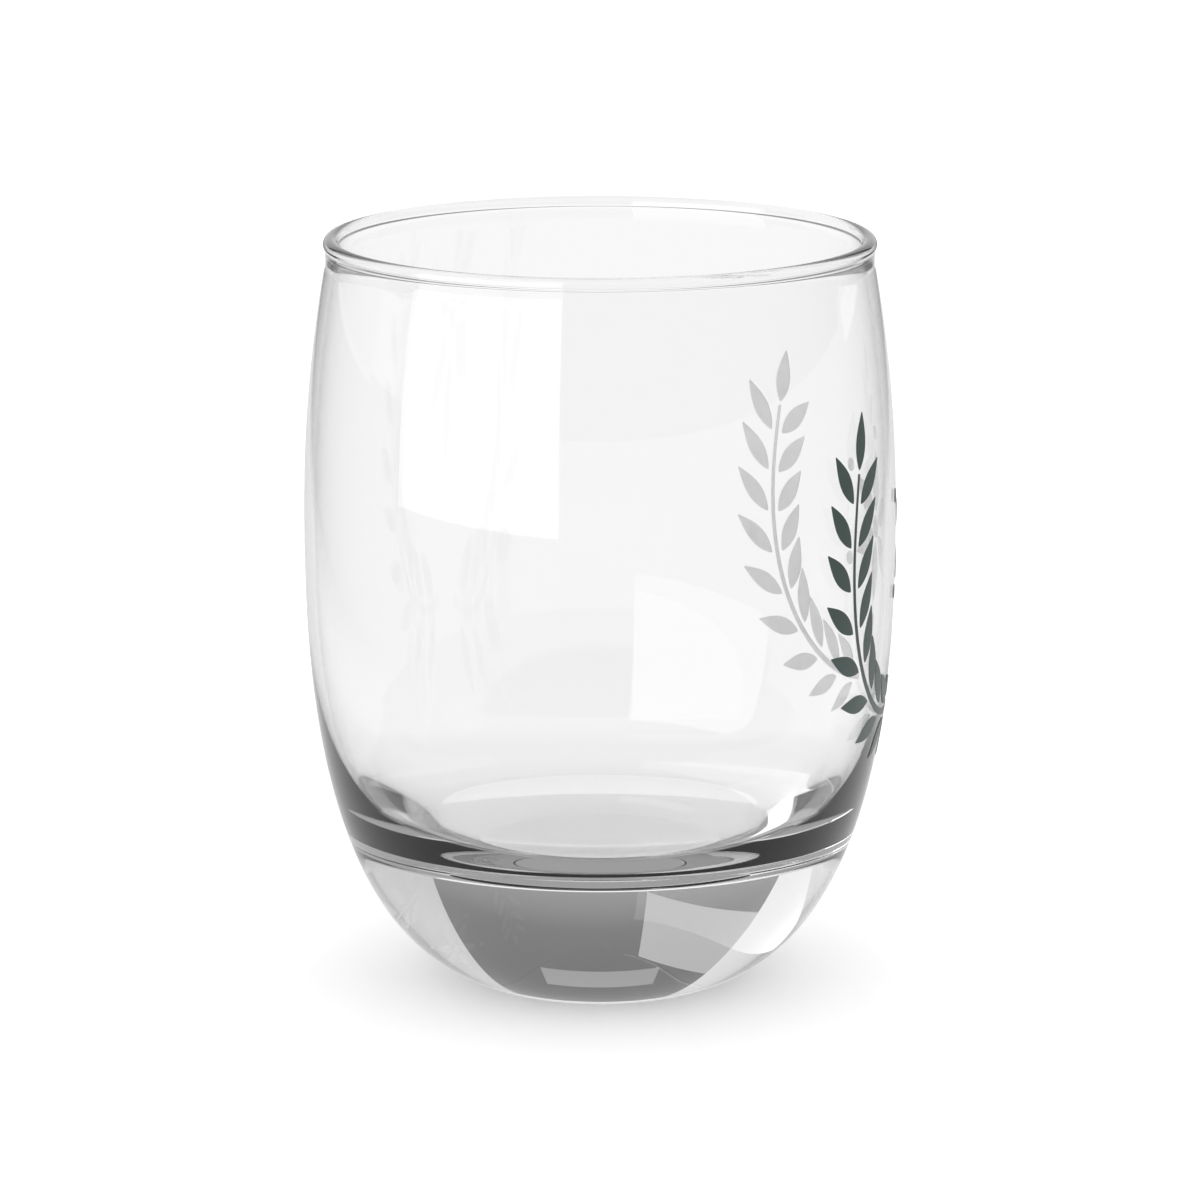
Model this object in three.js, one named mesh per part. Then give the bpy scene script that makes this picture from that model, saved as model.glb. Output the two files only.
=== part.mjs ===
// Whisky tumbler: a barrel-shaped, heavy-based drinking glass pressed and fire-polished in one
// piece, with a laurel ornament printed on its front. Millimetres, +Z up. The origin is the
// centre of the foot, and the print faces -Y.
import * as THREE from 'three';

// Glass, outside
const HEIGHT = 85.4;
const BELLY_RADIUS = 33.5;
const BELLY_HEIGHT = 53.4;
const FOOT_RADIUS = 14.5;
const SHOULDER_ARC_RADIUS = 160;
const BOWL_DROP_POWER = 2.46;
const BOWL_SPREAD_POWER = 3.16;

// Rim bead
const BEAD_RADIUS = 0.85;
const BEAD_PROUD = 0.62;

// Glass, inside
const WALL = 1.2;
const BASE_THICKNESS = 16.6;
const CORNER_RADIUS = 10.4;
const LOWER_WALL_GAIN = 2.2;
const LOWER_WALL_POWER = 5;

// Ink film: its gap to the glass keeps the flat facets of both clear of each other
const INK_GAP = 0.1;
const INK_THICKNESS = 0.1;
const INK_TIP_WIDTH = 0.12;

// Laurel branches, measured on the print laid flat: across from its middle, and up from the foot
const BRANCH_START = [3.2, 32.5];
const BRANCH_OUT = [17, 29];
const BRANCH_TURN = [28.5, 38];
const BRANCH_END = [23.5, 61.5];
const STEM_WIDTH = 0.8;
const LEAF_LENGTH = 6.4;
const LEAF_WIDTH = 2.1;
const LEAF_ANGLE = THREE.MathUtils.degToRad(38);
const LEAF_CLEARANCE = 0.45;

// Rosette between the branches
const ROSETTE_HEIGHT = 51;
const PETAL_COUNT = 6;
const PETAL_LENGTH = 7;
const PETAL_WIDTH = 3.2;
const ROSETTE_EYE_RADIUS = 1.3;
const DOT_RADIUS = 0.8;
const DOT_CLEARANCE = 1.5;

// Facets
const TURN_SEGMENTS = 64;
const BOWL_STEPS = 16;
const SHOULDER_STEPS = 8;
const BEAD_STEPS = 10;
const CORNER_STEPS = 8;
const LEAF_STEPS = 6;
const STEM_STEPS = 26;

const GLASS = { color: 0xf4f7f6, roughness: 0.02, metalness: 0, transparent: true, opacity: 0.35 };
const INK = { color: 0x3d4f4b, roughness: 0.45, metalness: 0 };

// The bowl below the belly is one quarter of a superellipse, cut off flat by the foot.
const BOWL_DEPTH = BELLY_HEIGHT
  / (1 - (FOOT_RADIUS / BELLY_RADIUS) ** BOWL_SPREAD_POWER) ** (1 / BOWL_DROP_POWER);

// Above the belly the wall is an arc that starts upright at the belly.
function outerRadius(z) {
  if (z < BELLY_HEIGHT) {
    const drop = (BELLY_HEIGHT - z) / BOWL_DEPTH;
    return BELLY_RADIUS * (1 - drop ** BOWL_DROP_POWER) ** (1 / BOWL_SPREAD_POWER);
  }
  const rise = z - BELLY_HEIGHT;
  return BELLY_RADIUS - SHOULDER_ARC_RADIUS + Math.sqrt(SHOULDER_ARC_RADIUS ** 2 - rise ** 2);
}

// The wall keeps its thickness down to the belly and then thickens towards the heavy base.
function innerRadius(z) {
  const drop = Math.max(0, (BELLY_HEIGHT - z) / (BELLY_HEIGHT - BASE_THICKNESS));
  return outerRadius(z) - WALL - LOWER_WALL_GAIN * drop ** LOWER_WALL_POWER;
}

// Slope of the cavity wall, in radians from upright.
function innerLean(z) {
  const step = 0.01;
  return Math.atan((innerRadius(z + step) - innerRadius(z - step)) / (2 * step));
}

// Height where a corner of the given radius leaves the cavity wall to meet the flat floor.
function cornerTop() {
  let top = BASE_THICKNESS + CORNER_RADIUS;
  for (let pass = 0; pass < 20; pass += 1) {
    top = BASE_THICKNESS + CORNER_RADIUS * (1 - Math.sin(innerLean(top)));
  }
  return top;
}

function tumblerProfile() {
  const beadHeight = HEIGHT - BEAD_RADIUS;
  const beadRing = outerRadius(beadHeight) + BEAD_PROUD - BEAD_RADIUS;
  const beadFoot = beadHeight - BEAD_RADIUS;
  const points = [new THREE.Vector2(0, 0)];
  const footAngle = Math.asin((FOOT_RADIUS / BELLY_RADIUS) ** (BOWL_SPREAD_POWER / 2));
  for (let i = 0; i <= BOWL_STEPS; i += 1) {
    const angle = footAngle + (Math.PI / 2 - footAngle) * (i / BOWL_STEPS);
    const radius = BELLY_RADIUS * Math.sin(angle) ** (2 / BOWL_SPREAD_POWER);
    points.push(new THREE.Vector2(radius, BELLY_HEIGHT - BOWL_DEPTH * Math.cos(angle) ** (2 / BOWL_DROP_POWER)));
  }
  for (let i = 1; i <= SHOULDER_STEPS; i += 1) {
    const z = BELLY_HEIGHT + (beadFoot - BELLY_HEIGHT) * (i / SHOULDER_STEPS);
    points.push(new THREE.Vector2(outerRadius(z), z));
  }
  for (let i = 0; i <= BEAD_STEPS; i += 1) {
    const angle = Math.PI * (i / BEAD_STEPS);
    points.push(new THREE.Vector2(beadRing + BEAD_RADIUS * Math.cos(angle), beadHeight + BEAD_RADIUS * Math.sin(angle)));
  }
  const top = cornerTop();
  const wallSteps = SHOULDER_STEPS + BOWL_STEPS / 2;
  for (let i = 0; i <= wallSteps; i += 1) {
    const z = beadFoot + (top - beadFoot) * (i / wallSteps);
    points.push(new THREE.Vector2(innerRadius(z), z));
  }
  const lean = innerLean(top);
  const cornerCentre = innerRadius(top) - CORNER_RADIUS * Math.cos(lean);
  for (let i = 1; i <= CORNER_STEPS; i += 1) {
    const angle = -lean - (Math.PI / 2 - lean) * (i / CORNER_STEPS);
    const z = BASE_THICKNESS + CORNER_RADIUS * (1 + Math.sin(angle));
    points.push(new THREE.Vector2(cornerCentre + CORNER_RADIUS * Math.cos(angle), z));
  }
  points.push(new THREE.Vector2(0, BASE_THICKNESS));
  return points;
}

function part(name, geometry, look) {
  const mesh = new THREE.Mesh(geometry, new THREE.MeshStandardMaterial(look));
  mesh.name = name;
  return mesh;
}

function tumbler() {
  const geometry = new THREE.LatheGeometry(tumblerProfile(), TURN_SEGMENTS);
  geometry.rotateX(Math.PI / 2);
  return part('tumbler', geometry, GLASS);
}

// Puts a point of the flat print on the outside of the glass, lifted off it by the given amount.
function wrap(across, up, lift) {
  const angle = across / BELLY_RADIUS;
  const radius = outerRadius(up) + lift;
  return [radius * Math.sin(angle), -radius * Math.cos(angle), up];
}

// A closed film of ink along a flat curve, three points wide, with the half width given by a
// function of the share of the curve's length.
function inkFilm(name, curve, halfWidth, steps) {
  const positions = [];
  for (const lift of [INK_GAP, INK_GAP + INK_THICKNESS]) {
    for (let i = 0; i <= steps; i += 1) {
      const share = i / steps;
      const middle = curve.getPointAt(share);
      const along = curve.getTangentAt(share);
      for (const side of [-1, 0, 1]) {
        const offset = side * halfWidth(share);
        positions.push(...wrap(middle.x - along.y * offset, middle.y + along.x * offset, lift));
      }
    }
  }
  const layer = 3 * (steps + 1);
  const faces = [];
  const quad = (a, b, c, d) => faces.push(a, b, c, a, c, d);
  for (let i = 0; i < steps; i += 1) {
    const row = 3 * i;
    for (const column of [0, 1]) {
      const near = row + column;
      const far = near + 3;
      quad(near, near + 1, far + 1, far);
      quad(layer + near, layer + far, layer + far + 1, layer + near + 1);
    }
    quad(row, row + 3, layer + row + 3, layer + row);
    quad(row + 2, layer + row + 2, layer + row + 5, row + 5);
  }
  for (const column of [0, 1]) {
    const first = column;
    const last = 3 * steps + column;
    quad(first, layer + first, layer + first + 1, first + 1);
    quad(last, last + 1, layer + last + 1, layer + last);
  }
  const geometry = new THREE.BufferGeometry();
  geometry.setAttribute('position', new THREE.Float32BufferAttribute(positions, 3));
  geometry.setIndex(faces);
  return part(name, geometry, INK);
}

// Leaf outline: pointed at both ends and widest a little before the middle.
function leafHalfWidth(width) {
  return (share) => INK_TIP_WIDTH / 2 + (width - INK_TIP_WIDTH) / 2 * Math.sin(Math.PI * share ** 0.85);
}

function leaf(name, x, y, direction, length, width) {
  const tip = new THREE.Vector2(x + length * Math.cos(direction), y + length * Math.sin(direction));
  return inkFilm(name, new THREE.LineCurve(new THREE.Vector2(x, y), tip), leafHalfWidth(width), LEAF_STEPS);
}

function dot(name, x, y, radius) {
  const curve = new THREE.LineCurve(new THREE.Vector2(x - radius, y), new THREE.Vector2(x + radius, y));
  const round = (share) => Math.max(INK_TIP_WIDTH / 2, radius * Math.sqrt(Math.max(0, 1 - (2 * share - 1) ** 2)));
  return inkFilm(name, curve, round, LEAF_STEPS);
}

// Radius of a curve's sharpest bend, from how far it turns over short equal steps.
function tightestBend(curve) {
  const steps = 40;
  const stride = curve.getLength() / steps;
  let bend = Infinity;
  for (let i = 0; i < steps; i += 1) {
    const before = curve.getTangentAt(i / steps);
    const after = curve.getTangentAt((i + 1) / steps);
    bend = Math.min(bend, stride / Math.acos(Math.min(1, before.dot(after))));
  }
  return bend;
}

// Spacing of the leaves along a stem: they clear each other at the inside of the bend, where
// they fan together, measured at the middle of a leaf.
function leafPitch(bend) {
  const spread = LEAF_LENGTH / 2 * Math.sin(LEAF_ANGLE);
  return (LEAF_WIDTH + LEAF_CLEARANCE) / Math.sin(LEAF_ANGLE) / (1 - spread / bend);
}

// One laurel branch: a stem, opposite leaves along it and one leaf at its end.
function branch(hand, mirror) {
  const at = ([x, y]) => new THREE.Vector2(mirror * x, y);
  const stem = new THREE.CubicBezierCurve(at(BRANCH_START), at(BRANCH_OUT), at(BRANCH_TURN), at(BRANCH_END));
  const length = stem.getLength();
  const taper = (share) => STEM_WIDTH / 2 * (1 - share / 2);
  const group = new THREE.Group();
  group.add(inkFilm(`${hand}_stem`, stem, taper, STEM_STEPS));
  const pitch = leafPitch(tightestBend(stem));
  const pairs = Math.floor(length / pitch);
  for (let i = 0; i < pairs; i += 1) {
    const share = (i + 0.5) * pitch / length;
    const root = stem.getPointAt(share);
    const along = stem.getTangentAt(share).angle();
    for (const [place, side] of [['outer', -mirror], ['inner', mirror]]) {
      const away = along + side * Math.PI / 2;
      const reach = STEM_WIDTH / 2 + LEAF_CLEARANCE;
      const x = root.x + reach * Math.cos(away);
      const y = root.y + reach * Math.sin(away);
      const name = `${hand}_${place}_leaf_${i + 1}`;
      group.add(leaf(name, x, y, along + side * LEAF_ANGLE, LEAF_LENGTH, LEAF_WIDTH));
    }
  }
  const end = stem.getPointAt(1);
  const heading = stem.getTangentAt(1).angle();
  const x = end.x + LEAF_CLEARANCE * Math.cos(heading);
  const y = end.y + LEAF_CLEARANCE * Math.sin(heading);
  group.add(leaf(`${hand}_end_leaf`, x, y, heading, LEAF_LENGTH, LEAF_WIDTH));
  return group;
}

// Petals round an eye, with a dot off the point of each.
function rosette() {
  const group = new THREE.Group();
  group.add(dot('rosette_eye', 0, ROSETTE_HEIGHT, ROSETTE_EYE_RADIUS));
  const start = Math.max(ROSETTE_EYE_RADIUS + LEAF_CLEARANCE, INK_TIP_WIDTH * PETAL_COUNT);
  const dotRing = start + PETAL_LENGTH + DOT_CLEARANCE + DOT_RADIUS;
  for (let i = 0; i < PETAL_COUNT; i += 1) {
    const angle = Math.PI / 2 + i * 2 * Math.PI / PETAL_COUNT;
    const x = Math.cos(angle);
    const y = Math.sin(angle);
    group.add(leaf(`petal_${i + 1}`, start * x, ROSETTE_HEIGHT + start * y, angle, PETAL_LENGTH, PETAL_WIDTH));
    group.add(dot(`dot_${i + 1}`, dotRing * x, ROSETTE_HEIGHT + dotRing * y, DOT_RADIUS));
  }
  return group;
}

const glass = new THREE.Group();
glass.add(tumbler());
glass.add(branch('left', -1));
glass.add(branch('right', 1));
glass.add(rosette());

export default glass;
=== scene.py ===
"""Printed whisky tumbler: a heavy-based clear glass, its laurel print and a small photo studio.

The glass is one turned surface, the print is thin films of ink wrapped on it, and the stage holds
the floor, the lit cards, the surrounding light and the camera. Lengths are in metres, and in
millimetres in the flat layout of the print.
"""

import math

import bpy
import numpy as np
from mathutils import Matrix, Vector


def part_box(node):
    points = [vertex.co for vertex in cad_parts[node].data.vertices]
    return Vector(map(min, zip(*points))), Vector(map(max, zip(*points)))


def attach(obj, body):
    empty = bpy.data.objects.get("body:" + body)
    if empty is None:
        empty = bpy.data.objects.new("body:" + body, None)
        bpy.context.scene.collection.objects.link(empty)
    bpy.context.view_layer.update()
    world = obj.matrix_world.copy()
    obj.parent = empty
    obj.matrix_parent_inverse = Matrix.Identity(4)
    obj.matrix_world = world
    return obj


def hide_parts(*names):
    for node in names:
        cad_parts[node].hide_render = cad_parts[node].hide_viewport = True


bl_info = {
    "name": "Printed Whisky Tumbler",
    "version": (1, 0, 0),
    "blender": (4, 5, 0),
    "location": "View3D > Sidebar > Tumbler",
    "description": "Turns a heavy-based whisky tumbler, prints laurel on it and sets up its studio",
    "category": "Add Mesh",
}

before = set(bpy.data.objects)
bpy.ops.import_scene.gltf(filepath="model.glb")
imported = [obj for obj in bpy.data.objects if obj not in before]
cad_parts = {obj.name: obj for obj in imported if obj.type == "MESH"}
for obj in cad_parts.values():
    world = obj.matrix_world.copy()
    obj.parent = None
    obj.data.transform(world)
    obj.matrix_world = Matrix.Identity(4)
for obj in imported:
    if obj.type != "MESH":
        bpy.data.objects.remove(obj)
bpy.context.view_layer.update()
_, GLASS_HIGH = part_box("tumbler")
MM = 0.001

# Settings


def length_property(name, description, millimetres):
    """A length that is shown in the scene's units, with its default in millimetres."""
    return bpy.props.FloatProperty(
        name=name,
        description=description,
        default=millimetres * MM,
        min=0.0,
        precision=5,
        unit="LENGTH",
        subtype="DISTANCE",
    )


def hex_linear(code):
    """Linear RGB of an sRGB hex colour such as 3d4f4b."""
    srgb = np.array([int(code[i : i + 2], 16) for i in (0, 2, 4)]) / 255.0
    linear = np.where(srgb <= 0.04045, srgb / 12.92, ((srgb + 0.055) / 1.055) ** 2.4)
    return tuple(linear.tolist())


def colour_property(name, description, code):
    """A colour picker whose default is an sRGB hex value."""
    return bpy.props.FloatVectorProperty(
        name=name,
        description=description,
        default=hex_linear(code),
        min=0.0,
        max=1.0,
        size=3,
        subtype="COLOR",
    )


class TumblerGlassSettings(bpy.types.PropertyGroup):
    """Sizes and colour of the glass."""

    height: length_property("Height", "Foot to the top of the rim", GLASS_HIGH.z / MM)
    belly_radius: length_property("Belly radius", "Widest outer radius", GLASS_HIGH.x / MM)
    belly_height: length_property("Belly height", "Height of the widest ring", 53.4)
    foot_radius: length_property("Foot radius", "Radius of the flat foot", 14.5)
    shoulder_arc: length_property("Shoulder arc", "Radius of the wall above the belly", 160.0)
    bead_radius: length_property("Bead radius", "Half the thickness of the rim bead", 0.85)
    bead_proud: length_property("Bead proud", "How far the bead stands out of the wall", 0.62)
    wall: length_property("Wall", "Wall thickness from the belly up", 1.2)
    base_thickness: length_property("Base thickness", "Solid glass under the floor", 16.6)
    corner_radius: length_property("Corner radius", "Round between wall and floor inside", 10.4)
    lower_wall_gain: length_property("Lower wall gain", "Extra wall at floor height", 2.2)
    tint: colour_property("Tint", "Colour of the glass", "fefefe")


class TumblerPrintSettings(bpy.types.PropertyGroup):
    """Sizes and colours of the print."""

    film: length_property("Film", "Thickness of the ink", 0.05)
    gap: length_property("Gap", "Air between the glass and the ink", 0.02)
    stem_width: length_property("Stem width", "Width of a branch's stem at its root", 0.8)
    leaf_length: length_property("Leaf length", "Length of a leaf", 6.4)
    leaf_width: length_property("Leaf width", "Widest part of a leaf", 2.1)
    petal_length: length_property("Petal length", "Length of a rosette petal", 7.0)
    petal_width: length_property("Petal width", "Widest part of a petal", 3.2)
    ink: colour_property("Ink", "Colour of the print from outside", "3a4b47")
    underprint: colour_property("Underprint", "Colour of the print through the glass", "fbfbfb")


class TumblerStageSettings(bpy.types.PropertyGroup):
    """Floor, light and camera."""

    floor: colour_property("Floor", "Colour of the floor", "f8f8f8")
    ambient: bpy.props.FloatProperty(
        name="Ambient",
        description="Brightness of the room in reflections",
        default=0.33,
        min=0.0,
        max=2.0,
    )
    lens: bpy.props.FloatProperty(
        name="Lens",
        description="Focal length in millimetres",
        default=169.4,
        min=10.0,
        max=600.0,
    )
    azimuth: bpy.props.FloatProperty(
        name="Azimuth",
        description="Camera direction round the glass, from the front of the print",
        default=math.radians(-99.0),
        subtype="ANGLE",
    )


# Glass shape

# Powers of the superellipse of the lower bowl, and of the wall's gain towards the floor.
BOWL_DROP_POWER = 2.46
BOWL_SPREAD_POWER = 3.16
LOWER_WALL_POWER = 5
# Lean of the bead's underside, and how many bead radii under its middle the blend to the wall
# starts.
BEAD_UNDERSIDE = math.radians(27)
NECK_DROP = 2.3
# Points along each run of the half section, and steps round the axis.
BOWL_POINTS = 110
SHOULDER_POINTS = 40
BLEND_POINTS = 16
BEAD_POINTS = 40
WALL_POINTS = 70
CORNER_POINTS = 40
TURN_SEGMENTS = 320
# Step for the slope of the cavity wall, and rounds that settle the top of its corner.
SLOPE_STEP = 0.01 * MM
CORNER_ROUNDS = 20


def bowl_depth(size):
    """Depth below the belly at which the lower bowl would close if the foot did not cut it."""
    foot_share = (size.foot_radius / size.belly_radius) ** BOWL_SPREAD_POWER
    return size.belly_height / (1 - foot_share) ** (1 / BOWL_DROP_POWER)


def outer_radius(size, z):
    """Outer radius at a height: below the belly a quarter superellipse cut by the foot, above it an
    arc that starts upright at the belly."""
    drop = np.clip((size.belly_height - z) / bowl_depth(size), 0, 1)
    bowl = size.belly_radius * (1 - drop**BOWL_DROP_POWER) ** (1 / BOWL_SPREAD_POWER)
    rise = np.maximum(z - size.belly_height, 0)
    shoulder = size.belly_radius - size.shoulder_arc + np.sqrt(size.shoulder_arc**2 - rise**2)
    return np.where(z < size.belly_height, bowl, shoulder)


def inner_radius(size, z):
    """Cavity radius at a height: the outer radius less a wall that thickens below the belly."""
    drop = np.clip((size.belly_height - z) / (size.belly_height - size.base_thickness), 0, 1)
    return outer_radius(size, z) - size.wall - size.lower_wall_gain * drop**LOWER_WALL_POWER


def inner_lean(size, z):
    """Angle of the cavity wall from upright at a height."""
    gain = inner_radius(size, z + SLOPE_STEP) - inner_radius(size, z - SLOPE_STEP)
    return math.atan(gain / (2 * SLOPE_STEP))


def corner_top(size):
    """Height where the round inside corner leaves the cavity wall, by repeated substitution."""
    top = size.base_thickness + size.corner_radius
    for _ in range(CORNER_ROUNDS):
        top = size.base_thickness + size.corner_radius * (1 - math.sin(inner_lean(size, top)))
    return top


def bezier(start, control, end, count):
    """Points of a quadratic Bezier curve: the blend of three points by (1-t)^2, 2t(1-t) and t^2."""
    t = np.linspace(0, 1, count)[:, None]
    start, control, end = np.array(start), np.array(control), np.array(end)
    return (1 - t) ** 2 * start + 2 * t * (1 - t) * control + t**2 * end


def bowl_run(size):
    """Section points up the outside from the edge of the foot to the belly: the superellipse by its
    turning angle, which sets the points closer where it bends."""
    start = math.asin((size.foot_radius / size.belly_radius) ** (BOWL_SPREAD_POWER / 2))
    turn = np.linspace(start, math.pi / 2, BOWL_POINTS)
    radius = size.belly_radius * np.sin(turn) ** (2 / BOWL_SPREAD_POWER)
    height = size.belly_height - bowl_depth(size) * np.cos(turn) ** (2 / BOWL_DROP_POWER)
    return np.stack([radius, height], -1)


def rim_run(size, bead_height, neck):
    """Section points from the belly up the shoulder to the neck, along a blend that meets the bead
    at the lean of its underside, and round the bead to its inner side."""
    rise = np.linspace(size.belly_height, neck, SHOULDER_POINTS)[1:-1]
    shoulder = np.stack([outer_radius(size, rise), rise], -1)
    bead_ring = float(outer_radius(size, bead_height)) + size.bead_proud - size.bead_radius
    turn = np.linspace(-BEAD_UNDERSIDE, math.pi, BEAD_POINTS)
    radius = bead_ring + size.bead_radius * np.cos(turn)
    height = bead_height + size.bead_radius * np.sin(turn)
    bead = np.stack([radius, height], -1)
    neck_radius = float(outer_radius(size, neck))
    slide = (bead[0, 0] - neck_radius) / math.sin(BEAD_UNDERSIDE)
    meet = [neck_radius, bead[0, 1] - slide * math.cos(BEAD_UNDERSIDE)]
    blend = bezier([neck_radius, neck], meet, bead[0], BLEND_POINTS)[:-1]
    return np.vstack([shoulder, blend, bead])


def cavity_run(size, neck):
    """Section points down the inside from the neck, and round the corner to the floor's edge."""
    top = corner_top(size)
    fall = np.linspace(neck, top, WALL_POINTS)
    wall = np.stack([inner_radius(size, fall), fall], -1)
    lean = inner_lean(size, top)
    sweep = np.linspace(-lean, -math.pi / 2, CORNER_POINTS)[1:]
    centre = float(inner_radius(size, top)) - size.corner_radius * math.cos(lean)
    radius = centre + size.corner_radius * np.cos(sweep)
    height = size.base_thickness + size.corner_radius * (1 + np.sin(sweep))
    return np.vstack([wall, np.stack([radius, height], -1)])


def glass_profile(size):
    """Radius and height of the glass's half section, from the axis under the foot round the
    outside, over the bead and down the inside to the axis on the floor."""
    bead_height = size.height - size.bead_radius
    neck = bead_height - NECK_DROP * size.bead_radius
    under_foot = [[0.0, 0.0]]
    on_floor = [[0.0, size.base_thickness]]
    runs = [bowl_run(size), rim_run(size, bead_height, neck), cavity_run(size, neck)]
    return np.vstack([under_foot, *runs, on_floor])


def turned_surface(profile, segments):
    """A half section turned about Z: each point becomes a ring x = r cos a, y = r sin a, with one
    point at each end on the axis. Returns the vertices and the faces, which point outwards when the
    section goes up the outside and down the inside."""
    angle = np.arange(segments) * 2 * math.pi / segments
    rings = profile[1:-1]
    radius = rings[:, :1]
    height = np.repeat(rings[:, 1:], segments, 1)
    points = np.stack([radius * np.cos(angle), radius * np.sin(angle), height], -1).reshape(-1, 3)
    ends = np.array([[0, 0, profile[0, 1]], [0, 0, profile[-1, 1]]])
    here = np.arange(segments)
    after = (here + 1) % segments
    row = np.arange(len(rings) - 1)[:, None] * segments
    above = row + segments
    quads = np.stack([row + here, row + after, above + after, above + here], -1)
    last = (len(rings) - 1) * segments
    under = np.stack([np.full(segments, len(points)), after, here], -1)
    floor = np.stack([np.full(segments, len(points) + 1), last + here, last + after], -1)
    faces = quads.reshape(-1, 4).tolist() + under.tolist() + floor.tolist()
    return np.vstack([points, ends]), faces


# Print shape, laid flat in millimetres: across from its middle, and up from the foot

# Control points of the right branch's stem.
BRANCH_START = (3.2, 32.5)
BRANCH_OUT = (17.0, 29.0)
BRANCH_TURN = (28.5, 38.0)
BRANCH_END = (23.5, 61.5)
LEAF_ANGLE = math.radians(38)
LEAF_CLEARANCE = 0.45
# A power under 1 moves the widest part of a leaf towards its root.
LEAF_FULLNESS = 0.85
INK_TIP_WIDTH = 0.12
ROSETTE_HEIGHT = 51.0
PETAL_COUNT = 6
ROSETTE_EYE_RADIUS = 1.3
DOT_RADIUS = 0.8
DOT_CLEARANCE = 1.5
# Points across one face of a film, and stations along a stem, and along a leaf or dot.
FILM_ACROSS = 7
STEM_STATIONS = 120
LEAF_STATIONS = 33
# Points that measure a stem's length, steps that find its tightest bend, and the share of its
# length to each side that gives its heading.
STEM_POINTS = 2001
BEND_STEPS = 40
HEADING_STEP = 1e-3


def cubic(points, t):
    """Points of a cubic Bezier curve, the blend of four points by the Bernstein weights."""
    t = np.asarray(t)[..., None]
    a, b, c, d = (np.array(p) for p in points)
    return (1 - t) ** 3 * a + 3 * t * (1 - t) ** 2 * b + 3 * t**2 * (1 - t) * c + t**3 * d


def unit(angle):
    """Flat direction at an angle."""
    return np.array([math.cos(angle), math.sin(angle)])


class Stem:
    """A branch's centreline, read by the share of its length."""

    def __init__(self, mirror):
        flip = np.array([mirror, 1.0])
        ends = [np.array(p) * flip for p in (BRANCH_START, BRANCH_OUT, BRANCH_TURN, BRANCH_END)]
        self.points = cubic(ends, np.linspace(0, 1, STEM_POINTS))
        steps = np.linalg.norm(np.diff(self.points, axis=0), axis=1)
        run = np.concatenate([[0], np.cumsum(steps)])
        self.length = run[-1]
        self.share = run / run[-1]

    def at(self, share):
        """Point at a share of the length."""
        return np.stack([np.interp(share, self.share, self.points[:, i]) for i in (0, 1)], -1)

    def heading(self, share):
        """Direction of travel at a share of the length, as an angle."""
        ahead = self.at(np.minimum(share + HEADING_STEP, 1))
        ahead = ahead - self.at(np.maximum(share - HEADING_STEP, 0))
        return np.arctan2(ahead[..., 1], ahead[..., 0])

    def tightest_bend(self):
        """Radius of the sharpest bend, from how far the line turns over short equal steps."""
        turn = np.diff(np.unwrap(self.heading(np.linspace(0, 1, BEND_STEPS + 1))))
        return self.length / BEND_STEPS / np.abs(turn).max()


def wrapped(size, flat, lift):
    """Flat print points put on the outside of the glass: across becomes an arc round the belly, up
    stays height, and lift is the distance off the glass."""
    angle = flat[..., 0] * MM / size.belly_radius
    height = flat[..., 1] * MM
    radius = outer_radius(size, height) + lift
    return np.stack([radius * np.sin(angle), -radius * np.cos(angle), height], -1)


def film(size, print_size, middle, heading, half_width):
    """A closed film of ink: at each station along a centreline a flat section as wide as the half
    width, its outer face first and its inner face back again. Returns vertices, faces and which
    faces are the inner ones."""
    across = np.linspace(-1, 1, FILM_ACROSS)
    normal = np.stack([-np.sin(heading), np.cos(heading)], -1)
    flat = middle[:, None] + normal[:, None] * (half_width[:, None] * across)[..., None]
    outer = wrapped(size, flat, print_size.gap + print_size.film)
    inner = wrapped(size, flat[:, ::-1], print_size.gap)
    loops = np.concatenate([outer, inner], 1)
    stations, around = loops.shape[:2]
    row = np.arange(stations - 1)[:, None] * around
    here = np.arange(around)
    after = (here + 1) % around
    sides = np.stack([row + here, row + around + here, row + around + after, row + after], -1)
    inner_face = np.broadcast_to((here >= FILM_ACROSS) & (here < around - 1), sides.shape[:2])
    ends = [here.tolist(), ((stations - 1) * around + here[::-1]).tolist()]
    faces = sides.reshape(-1, 4).tolist() + ends
    return loops.reshape(-1, 3), faces, inner_face.ravel().tolist() + [False, False]


def leaf(size, print_size, root, heading, length, width):
    """A leaf: a straight centreline with the half width a stretched sine, pointed at both ends."""
    share = np.linspace(0, 1, LEAF_STATIONS)
    middle = root + (share * length)[:, None] * unit(heading)
    swell = np.sin(math.pi * share**LEAF_FULLNESS)
    half = INK_TIP_WIDTH / 2 + (width - INK_TIP_WIDTH) / 2 * swell
    return film(size, print_size, middle, np.full(len(share), heading), half)


def dot(size, print_size, centre, radius):
    """A round dot: a centreline across it, with stations closer at the ends, and circular half
    width."""
    turn = np.linspace(math.pi, 0, LEAF_STATIONS)
    middle = centre + np.stack([radius * np.cos(turn), np.zeros_like(turn)], -1)
    half = np.maximum(INK_TIP_WIDTH / 4, radius * np.sin(turn))
    return film(size, print_size, middle, np.zeros(len(turn)), half)


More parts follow.
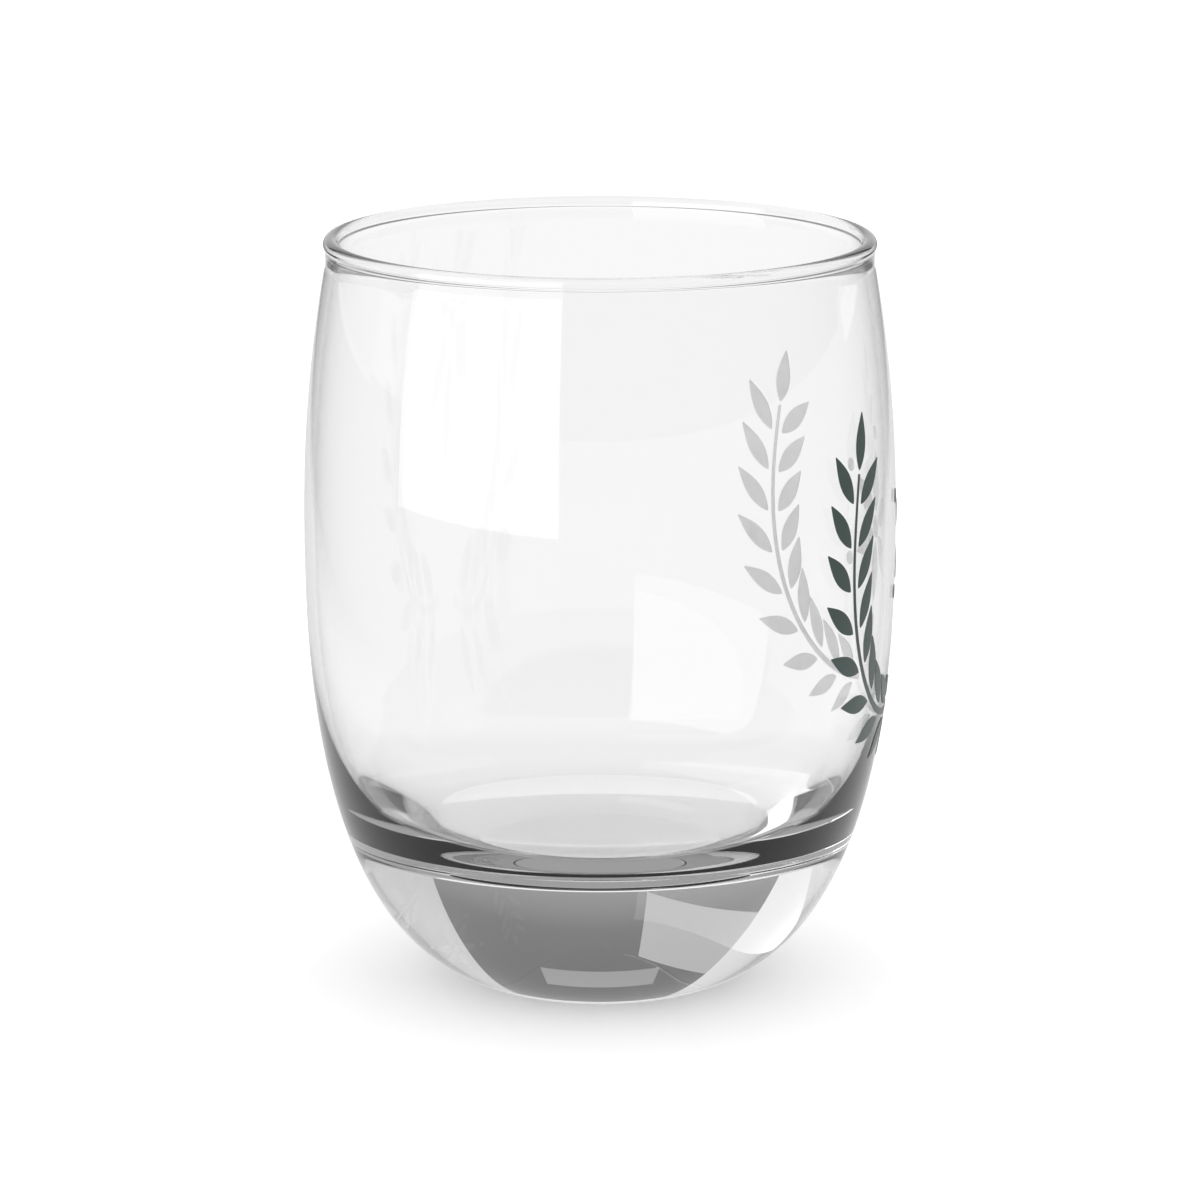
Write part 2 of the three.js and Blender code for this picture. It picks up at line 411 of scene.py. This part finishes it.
def branch_films(size, print_size, mirror):
    """Stem, opposite leaves and end leaf of one branch. The leaves stand as close as the tightest
    bend of the stem lets them."""
    stem = Stem(mirror)
    stem_half = print_size.stem_width / MM / 2
    length, width = print_size.leaf_length / MM, print_size.leaf_width / MM
    share = np.linspace(0, 1, STEM_STATIONS)
    taper = stem_half * (1 - share / 2)
    films = [film(size, print_size, stem.at(share), stem.heading(share), taper)]
    spread = length / 2 * math.sin(LEAF_ANGLE) / stem.tightest_bend()
    pitch = (width + LEAF_CLEARANCE) / math.sin(LEAF_ANGLE) / (1 - spread)
    reach = stem_half + LEAF_CLEARANCE
    for place in (np.arange(math.floor(stem.length / pitch)) + 0.5) * pitch / stem.length:
        along = float(stem.heading(place))
        for side in (-1, 1):
            root = stem.at(place) + reach * unit(along + side * math.pi / 2)
            films.append(leaf(size, print_size, root, along + side * LEAF_ANGLE, length, width))
    along = float(stem.heading(1.0))
    root = stem.at(1.0) + LEAF_CLEARANCE * unit(along)
    films.append(leaf(size, print_size, root, along, length, width))
    return films


def rosette_films(size, print_size):
    """Eye, petals and dots of the rosette."""
    centre = np.array([0.0, ROSETTE_HEIGHT])
    length, width = print_size.petal_length / MM, print_size.petal_width / MM
    start = max(ROSETTE_EYE_RADIUS + LEAF_CLEARANCE, INK_TIP_WIDTH * PETAL_COUNT)
    ring = start + length + DOT_CLEARANCE + DOT_RADIUS
    films = [dot(size, print_size, centre, ROSETTE_EYE_RADIUS)]
    for angle in math.pi / 2 + np.arange(PETAL_COUNT) * 2 * math.pi / PETAL_COUNT:
        out = unit(angle)
        films.append(leaf(size, print_size, centre + start * out, angle, length, width))
        films.append(dot(size, print_size, centre + ring * out, DOT_RADIUS))
    return films


def joined(films):
    """Several films as one set of vertices, faces and inner-face marks."""
    starts = np.cumsum([0] + [len(points) for points, _, _ in films])
    faces = [
        [int(start + i) for i in face] for start, part in zip(starts, films) for face in part[1]
    ]
    marks = [mark for part in films for mark in part[2]]
    return np.vstack([points for points, _, _ in films]), faces, marks


# Materials

IOR = 1.5
# Waves that the mould leaves in the glass.
GLASS_WAVE_LENGTH = 14 * MM
GLASS_WAVE_HEIGHT = 0.1 * MM
GLASS_WAVE_STRENGTH = 0.003
# Patches of thicker and thinner ink, and the marks of the screen's threads.
INK_PATCH = 1.2 * MM
INK_THINNEST, INK_THICKEST = 0.88, 1.12
SCREEN_THREAD = 0.25 * MM
SCREEN_MARK_HEIGHT = 0.02 * MM
SCREEN_MARK_STRENGTH = 0.15
INK_ROUGHNESS = 0.4
UNDERPRINT_ROUGHNESS = 0.6


def node(tree, kind, inputs=(), **settings):
    """Adds a node, sets its attributes, and sets or links the inputs that are given by name or
    number. A Mix node takes its factor as 0, numbers as 2 and 3, and colours as 6 and 7."""
    made = tree.nodes.new(kind)
    for name, value in settings.items():
        setattr(made, name, value)
    for name, value in dict(inputs).items():
        if isinstance(value, bpy.types.NodeSocket):
            tree.links.new(value, made.inputs[name])
        else:
            made.inputs[name].default_value = value
    return made


def new_material(name):
    """An empty node material and its tree."""
    material = bpy.data.materials.new(name)
    material.use_nodes = True
    material.node_tree.nodes.clear()
    return material, material.node_tree


def fire_polished_glass(tint):
    """Soda-lime glass, pressed and fire-polished: clear and bright, with long soft waves left by
    the mould that bend reflections a little."""
    material, tree = new_material("Soda-lime glass, fire-polished")
    place = node(tree, "ShaderNodeTexCoord")
    waves = node(
        tree,
        "ShaderNodeTexNoise",
        {"Vector": place.outputs["Object"], "Scale": 1 / GLASS_WAVE_LENGTH, "Detail": 1.0},
    )
    bump = node(
        tree,
        "ShaderNodeBump",
        {
            "Strength": GLASS_WAVE_STRENGTH,
            "Distance": GLASS_WAVE_HEIGHT,
            "Height": waves.outputs[0],
        },
    )
    shader = node(
        tree,
        "ShaderNodeBsdfPrincipled",
        {
            "Base Color": (*tint, 1),
            "Roughness": 0.0,
            "IOR": IOR,
            "Transmission Weight": 1.0,
            "Normal": bump.outputs[0],
        },
    )
    node(tree, "ShaderNodeOutputMaterial", {"Surface": shader.outputs[0]})
    return material


def cured_ink(name, colour, roughness):
    """Printing ink cured on glass: a satin film, a little uneven where the screen's threads held
    it."""
    material, tree = new_material(name)
    place = node(tree, "ShaderNodeTexCoord")
    patches = node(
        tree,
        "ShaderNodeTexNoise",
        {"Vector": place.outputs["Object"], "Scale": 1 / INK_PATCH, "Detail": 3.0},
    )
    shade = node(
        tree,
        "ShaderNodeMix",
        {
            0: patches.outputs[0],
            6: (*(INK_THINNEST * c for c in colour), 1),
            7: (*(min(1, INK_THICKEST * c) for c in colour), 1),
        },
        data_type="RGBA",
    )
    screen = node(
        tree,
        "ShaderNodeTexNoise",
        {"Vector": place.outputs["Object"], "Scale": 1 / SCREEN_THREAD, "Detail": 1.0},
    )
    bump = node(
        tree,
        "ShaderNodeBump",
        {
            "Strength": SCREEN_MARK_STRENGTH,
            "Distance": SCREEN_MARK_HEIGHT,
            "Height": screen.outputs[0],
        },
    )
    shader = node(
        tree,
        "ShaderNodeBsdfPrincipled",
        {
            "Base Color": shade.outputs[2],
            "Roughness": roughness,
            "IOR": IOR,
            "Normal": bump.outputs[0],
        },
    )
    node(tree, "ShaderNodeOutputMaterial", {"Surface": shader.outputs[0]})
    return material


# Pieces


def mesh_object(name, points, faces, materials, smooth=True, inner=None):
    """A mesh object at the origin, linked to the scene. Faces marked as inner take the second
    material."""
    mesh = bpy.data.meshes.new(name)
    mesh.from_pydata(points.tolist(), [], faces)
    mesh.update()
    for material in materials:
        mesh.materials.append(material)
    mesh.polygons.foreach_set("use_smooth", np.full(len(faces), smooth))
    if inner is not None:
        mesh.polygons.foreach_set("material_index", np.array(inner, dtype=np.int32))
    piece = bpy.data.objects.new(name, mesh)
    bpy.context.scene.collection.objects.link(piece)
    return piece


class TUMBLER_OT_glass(bpy.types.Operator):
    """Turn the clear glass"""

    bl_idname = "tumbler.glass"
    bl_label = "Turn the glass"

    def execute(self, context):
        size = context.scene.tumbler_glass
        points, faces = turned_surface(glass_profile(size), TURN_SEGMENTS)
        glass = mesh_object("clear_tumbler", points, faces, [fire_polished_glass(size.tint)])
        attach(glass, "root")
        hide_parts("tumbler")
        return {"FINISHED"}


class TUMBLER_OT_print(bpy.types.Operator):
    """Print the laurel branches and the rosette on the glass"""

    bl_idname = "tumbler.print"
    bl_label = "Print the laurel"

    def execute(self, context):
        size, print_size = context.scene.tumbler_glass, context.scene.tumbler_print
        inks = [
            cured_ink("Screen ink, cured dark", print_size.ink, INK_ROUGHNESS),
            cured_ink("Screen ink, pale underprint", print_size.underprint, UNDERPRINT_ROUGHNESS),
        ]
        nodes = set(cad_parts) - {"tumbler"}
        left = {name for name in nodes if name.startswith("left_")}
        right = {name for name in nodes if name.startswith("right_")}
        groups = [
            ("laurel_left", branch_films(size, print_size, -1), left),
            ("laurel_right", branch_films(size, print_size, 1), right),
            ("laurel_rosette", rosette_films(size, print_size), nodes - left - right),
        ]
        for name, films, stands_for in groups:
            if len(films) != len(stands_for):
                raise RuntimeError(f"{name} has {len(films)} films for {len(stands_for)} solids")
            points, faces, inner = joined(films)
            piece = mesh_object(name, points, faces, inks, smooth=False, inner=inner)
            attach(piece, "root")
            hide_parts(*sorted(stands_for))
        return {"FINISHED"}


# Stage

FLOOR_RADIUS = 8.0
FLOOR_DROP = 0.05 * MM
FLOOR_RINGS = 23
FLOOR_SEGMENTS = 96
# Painted pool of light on the paper, seen only in reflections off the glass: the paper glows bright
# in an oval. How far behind the foot its middle lies, its half width and half length, and the share
# of these at which it has faded out.
PAINTED_POOL_BACK = 0.3
PAINTED_POOL_HALF = (0.175, 0.38)
PAINTED_POOL_FADE = 1.25
# Paper in the glass: the brightness of its own glow, and the share of the glow against lit paper.
PAPER_GLOW_THROUGH = 0.755
PAPER_SHARE_THROUGH = 0.6
# Brightness of the paper to the eye against its colour, which makes the background white.
PAPER_TO_EYE = 1.34
# Light on the ink and the paper, and the level to which it is raised after the walls of the glass
# have taken part of it.
TENT_LIGHT = 1.0
LIGHT_ACROSS_GLASS = 1.8
# Limits between counts of events on a light path: no matt surface, one mirror, four faces of glass.
NO_MATT = 0.5
ONE_MIRROR = 1.5
FOUR_FACES = 4.5
WHITE = (1, 1, 1, 1)
# Lit cards round the glass. Four corners from the lower left round to the upper left, each an
# azimuth from straight behind the glass with right of the camera positive, and an elevation, in
# degrees. Then the distance, and the brightness at the lower and the upper edge.
CARDS = {
    "paper_sweep": (((-100, 0), (65, 0), (65, 7), (-100, 7)), 3.1, (1.0, 1.0)),
    "rear_wall": (((-37, 7), (30, 7), (30, 15.5), (-37, 15.5)), 3.0, (0.325, 0.18)),
    "rear_wall_top": (((-37, 15.5), (30, 15.5), (30, 62), (-37, 62)), 3.0, (0.18, 0.05)),
    "rear_lamp": (((-12, 28), (12, 28), (12, 36), (-12, 36)), 2.95, (0.33, 0.33)),
    "rear_panel": (((-37, 21.6), (-7, 8.5), (-7, 22.8), (-37, 45.6)), 2.9, (0.5, 0.43)),
    "left_rear_softbox": (((-78, 0), (-37, 0), (-19, 62), (-78, 62)), 2.0, (0.8, 0.8)),
    "right_rear_softbox": (((30, 2), (65, 2), (65, 62), (30, 62)), 3.0, (0.53, 0.75)),
    "left_front_softbox": (((-165, 1.2), (-100, 2), (-100, 45), (-165, 45)), 0.35, (1.9, 1.9)),
    "rear_scrim": (((-25, 7), (25, 7), (25, 50), (-25, 50)), 1.8, (1.0, 1.0)),
}
# Cards that show in reflections off the outside of the glass but not through it.
MIRROR_ONLY = {"rear_scrim"}
CARD_FACES_ACROSS = 24
CARD_FACES_UP = 12
CAMERA_DISTANCE = 626.9 * MM
CAMERA_HEIGHT = 182.1 * MM
AIM_HEIGHT = 43.5 * MM
SENSOR_WIDTH = 36
CLIP_NEAR, CLIP_FAR = 0.01, 20


def behind(azimuth):
    """Level direction from the camera on past the glass."""
    return Vector((-math.sin(azimuth), math.cos(azimuth), 0))


def seen(tree):
    """Socket that is 1 where the eye sees a surface, straight or in the glass, and 0 for the light
    that the surface sends to the paper or the ink."""
    path = node(tree, "ShaderNodeLightPath")
    return node(
        tree,
        "ShaderNodeMath",
        {0: path.outputs["Diffuse Depth"], 1: NO_MATT},
        operation="LESS_THAN",
    ).outputs[0]


def in_glass(tree):
    """Socket that is 1 for a ray that the glass mirrors or lets through."""
    path = node(tree, "ShaderNodeLightPath")
    return node(
        tree,
        "ShaderNodeMath",
        {0: path.outputs["Is Glossy Ray"], 1: path.outputs["Is Transmission Ray"]},
        operation="MAXIMUM",
    ).outputs[0]


def studio_paper(colour, room, azimuth):
    """Matt white paper: to the eye it is white with the shadow of the glass on it, and as a light
    on the ink it is no brighter than its colour. Through the glass it is a little less bright.
    Mirrored in the glass it glows with a painted pool of light in an oval that runs back from the
    foot. Outside that oval, and where the glass has thrown the light about inside, it is painted as
    dim as the room."""
    material, tree = new_material("Matt white studio paper")
    path = node(tree, "ShaderNodeLightPath")
    place = node(tree, "ShaderNodeTexCoord")
    # Painted pool of light: mirrored in the glass, the paper glows bright only inside an oval
    # behind the foot.
    oval = node(
        tree,
        "ShaderNodeMapping",
        {
            "Vector": place.outputs["Object"],
            "Location": PAINTED_POOL_BACK * behind(azimuth),
            "Rotation": (0, 0, azimuth),
            "Scale": (*PAINTED_POOL_HALF, 1),
        },
        vector_type="TEXTURE",
    )
    out = node(tree, "ShaderNodeVectorMath", {0: oval.outputs[0]}, operation="LENGTH")
    patch = node(
        tree,
        "ShaderNodeMapRange",
        {0: out.outputs["Value"], 1: 1.0, 2: PAINTED_POOL_FADE, 3: 1.0, 4: 0.0},
    )
    mirrored = node(
        tree,
        "ShaderNodeMath",
        {0: path.outputs["Is Glossy Ray"], 1: patch.outputs[0]},
        operation="MULTIPLY",
    )
    bright = node(
        tree,
        "ShaderNodeMath",
        {0: path.outputs["Is Transmission Ray"], 1: mirrored.outputs[0]},
        operation="MAXIMUM",
    )
    few = node(
        tree,
        "ShaderNodeMath",
        {0: path.outputs["Glossy Depth"], 1: ONE_MIRROR},
        operation="LESS_THAN",
    )
    direct = node(
        tree,
        "ShaderNodeMath",
        {0: bright.outputs[0], 1: few.outputs[0]},
        operation="MULTIPLY",
    )
    # Painted shade: the rest of the paper seen in the glass glows only as dim as the room.
    deep = node(
        tree,
        "ShaderNodeMath",
        {0: in_glass(tree), 1: direct.outputs[0]},
        operation="SUBTRACT",
    )
    # Strength of the glow and its share, both none for paper that is not seen in the glass. Outside
    # the painted pool, or after more than one mirror, the paper is all glow, painted as dim as the
    # room.
    levels = []
    for level_direct, level_deep in ((PAPER_GLOW_THROUGH, room), (PAPER_SHARE_THROUGH, 1.0)):
        near = node(tree, "ShaderNodeMix", {0: direct.outputs[0], 2: 0.0, 3: level_direct})
        far = node(tree, "ShaderNodeMix", {0: deep.outputs[0], 2: near.outputs[0], 3: level_deep})
        levels.append(far.outputs[0])
    strength, share = levels
    to_eye = seen(tree)
    glow_share = node(tree, "ShaderNodeMath", {0: share, 1: to_eye}, operation="MULTIPLY")
    shade = node(
        tree,
        "ShaderNodeMix",
        {0: to_eye, 6: (*colour, 1), 7: (*(PAPER_TO_EYE * c for c in colour), 1)},
        data_type="RGBA",
    )
    lit = node(tree, "ShaderNodeBsdfDiffuse", {"Color": shade.outputs[2]})
    glow = node(tree, "ShaderNodeEmission", {"Color": WHITE, "Strength": strength})
    both = node(
        tree,
        "ShaderNodeMixShader",
        {0: glow_share.outputs[0], 1: lit.outputs[0], 2: glow.outputs[0]},
    )
    node(tree, "ShaderNodeOutputMaterial", {"Surface": both.outputs[0]})
    return material


def lit_cloth(name, low, high, brightness):
    """Diffusion cloth over a lamp: seen in the glass, a white glow that changes evenly from its
    lower to its upper edge. Light on its way to the paper or the ink passes it."""
    material, tree = new_material(f"Lit diffusion cloth, {name}")
    place = node(tree, "ShaderNodeTexCoord")
    height = node(tree, "ShaderNodeSeparateXYZ", {0: place.outputs["Object"]})
    strength = node(
        tree,
        "ShaderNodeMapRange",
        {0: height.outputs[2], 1: low, 2: high, 3: brightness[0], 4: brightness[1]},
    )
    glow = node(tree, "ShaderNodeEmission", {"Color": WHITE, "Strength": strength.outputs[0]})
    clear = node(tree, "ShaderNodeBsdfTransparent")
    both = node(
        tree,
        "ShaderNodeMixShader",
        {0: seen(tree), 1: clear.outputs[0], 2: glow.outputs[0]},
    )
    node(tree, "ShaderNodeOutputMaterial", {"Surface": both.outputs[0]})
    return material


def tent_world(room):
    """White tent in a dim room: a plain level of light on the ink and the paper, while the glass
    shows the dim room beyond the cards."""
    world = bpy.data.worlds.new("White tent in a dim room")
    world.use_nodes = True
    tree = world.node_tree
    tree.nodes.clear()
    path = node(tree, "ShaderNodeLightPath")
    shown = node(tree, "ShaderNodeMath", {0: in_glass(tree), 1: seen(tree)}, operation="MULTIPLY")
    across = node(
        tree,
        "ShaderNodeMath",
        {0: path.outputs["Transmission Depth"], 1: FOUR_FACES},
        operation="GREATER_THAN",
    )
    lit = node(
        tree,
        "ShaderNodeMix",
        {0: across.outputs[0], 2: TENT_LIGHT, 3: LIGHT_ACROSS_GLASS},
    )
    strength = node(tree, "ShaderNodeMix", {0: shown.outputs[0], 2: lit.outputs[0], 3: room})
    tent = node(tree, "ShaderNodeBackground", {"Color": WHITE, "Strength": strength.outputs[0]})
    node(tree, "ShaderNodeOutputWorld", {"Surface": tent.outputs[0]})
    return world


def card_surface(corners, distance, camera_azimuth):
    """A patch of a sphere round the foot: azimuth and elevation are blended between four corners
    across and up the patch, and the point stands at that direction and the given distance."""
    across = np.linspace(0, 1, CARD_FACES_ACROSS + 1)
    up = np.linspace(0, 1, CARD_FACES_UP + 1)
    u, v = np.meshgrid(across, up, indexing="ij")
    weights = np.stack([(1 - u) * (1 - v), u * (1 - v), u * v, (1 - u) * v], -1)
    azimuth, elevation = np.moveaxis(weights @ np.radians(corners), -1, 0)
    turn = camera_azimuth - azimuth
    flat = np.cos(elevation)
    points = np.stack([-flat * np.sin(turn), flat * np.cos(turn), np.sin(elevation)], -1)
    column = len(up)
    here = np.arange(CARD_FACES_ACROSS)[:, None] * column + np.arange(CARD_FACES_UP)
    faces = np.stack([here, here + 1, here + column + 1, here + column], -1)
    return distance * points.reshape(-1, 3), faces.reshape(-1, 4).tolist()


def floor_surface():
    """A flat round sheet just under the foot: rings about one middle point, whose radius grows as
    the square of their number."""
    angle = np.arange(FLOOR_SEGMENTS) * 2 * math.pi / FLOOR_SEGMENTS
    reach = FLOOR_RADIUS * np.linspace(0, 1, FLOOR_RINGS + 1)[1:, None] ** 2
    height = np.full((FLOOR_RINGS, FLOOR_SEGMENTS), -FLOOR_DROP)
    points = np.stack([reach * np.cos(angle), reach * np.sin(angle), height], -1).reshape(-1, 3)
    here = np.arange(FLOOR_SEGMENTS)
    after = (here + 1) % FLOOR_SEGMENTS
    row = np.arange(FLOOR_RINGS - 1)[:, None] * FLOOR_SEGMENTS
    outer = row + FLOOR_SEGMENTS
    quads = np.stack([row + here, outer + here, outer + after, row + after], -1)
    hub = np.stack([np.full(FLOOR_SEGMENTS, len(points)), here, after], -1)
    middle = [[0, 0, -FLOOR_DROP]]
    return np.vstack([points, middle]), quads.reshape(-1, 4).tolist() + hub.tolist()


def photo_camera(focal_length, azimuth):
    """Camera at the photo's angle, turned to the middle of the glass."""
    lens = bpy.data.cameras.new("photo_camera")
    lens.sensor_width = SENSOR_WIDTH
    lens.lens = focal_length
    lens.clip_start, lens.clip_end = CLIP_NEAR, CLIP_FAR
    camera = bpy.data.objects.new("photo_camera", lens)
    camera.location = Vector((0, 0, CAMERA_HEIGHT)) - behind(azimuth) * CAMERA_DISTANCE
    sight = Vector((0, 0, AIM_HEIGHT)) - camera.location
    camera.rotation_euler = sight.to_track_quat("-Z", "Y").to_euler()
    return camera


class TUMBLER_OT_stage(bpy.types.Operator):
    """Set the floor, the lit cards, the surrounding light and the camera"""

    bl_idname = "tumbler.stage"
    bl_label = "Set the stage"

    def execute(self, context):
        scene, look = context.scene, context.scene.tumbler_stage
        points, faces = floor_surface()
        paper = studio_paper(look.floor, look.ambient, look.azimuth)
        mesh_object("paper_floor", points, faces, [paper])
        for name, (corners, distance, brightness) in CARDS.items():
            points, faces = card_surface(corners, distance, look.azimuth)
            low, high = float(points[:, 2].min()), float(points[:, 2].max())
            card = mesh_object(name, points, faces, [lit_cloth(name, low, high, brightness)])
            card.visible_camera = False
            card.visible_diffuse = False
            card.visible_shadow = False
            card.visible_transmission = name not in MIRROR_ONLY
        scene.world = tent_world(look.ambient)
        camera = photo_camera(look.lens, look.azimuth)
        scene.collection.objects.link(camera)
        scene.camera = camera
        scene.view_settings.view_transform = "Standard"
        return {"FINISHED"}


class TUMBLER_PT_panel(bpy.types.Panel):
    """Lists the steps and the settings"""

    bl_idname = "TUMBLER_PT_panel"
    bl_label = "Whisky Tumbler"
    bl_space_type = "VIEW_3D"
    bl_region_type = "UI"
    bl_category = "Tumbler"

    def draw(self, context):
        layout, scene = self.layout, context.scene
        for operator in (TUMBLER_OT_glass, TUMBLER_OT_print, TUMBLER_OT_stage):
            layout.operator(operator.bl_idname)
        for group in (scene.tumbler_glass, scene.tumbler_print, scene.tumbler_stage):
            box = layout.box()
            for name in group.__annotations__:
                box.prop(group, name)


CLASSES = (
    TumblerGlassSettings,
    TumblerPrintSettings,
    TumblerStageSettings,
    TUMBLER_OT_glass,
    TUMBLER_OT_print,
    TUMBLER_OT_stage,
    TUMBLER_PT_panel,
)


def register():
    """Adds the classes, and the settings to the scene."""
    for cls in CLASSES:
        bpy.utils.register_class(cls)
    bpy.types.Scene.tumbler_glass = bpy.props.PointerProperty(type=TumblerGlassSettings)
    bpy.types.Scene.tumbler_print = bpy.props.PointerProperty(type=TumblerPrintSettings)
    bpy.types.Scene.tumbler_stage = bpy.props.PointerProperty(type=TumblerStageSettings)


def unregister():
    """Takes the settings off the scene, and the classes out."""
    del bpy.types.Scene.tumbler_glass
    del bpy.types.Scene.tumbler_print
    del bpy.types.Scene.tumbler_stage
    for cls in reversed(CLASSES):
        bpy.utils.unregister_class(cls)


def main():
    """Builds the glass, its print and the stage."""
    register()
    bpy.ops.tumbler.glass()
    bpy.ops.tumbler.print()
    bpy.ops.tumbler.stage()


if __name__ == "__main__":
    main()
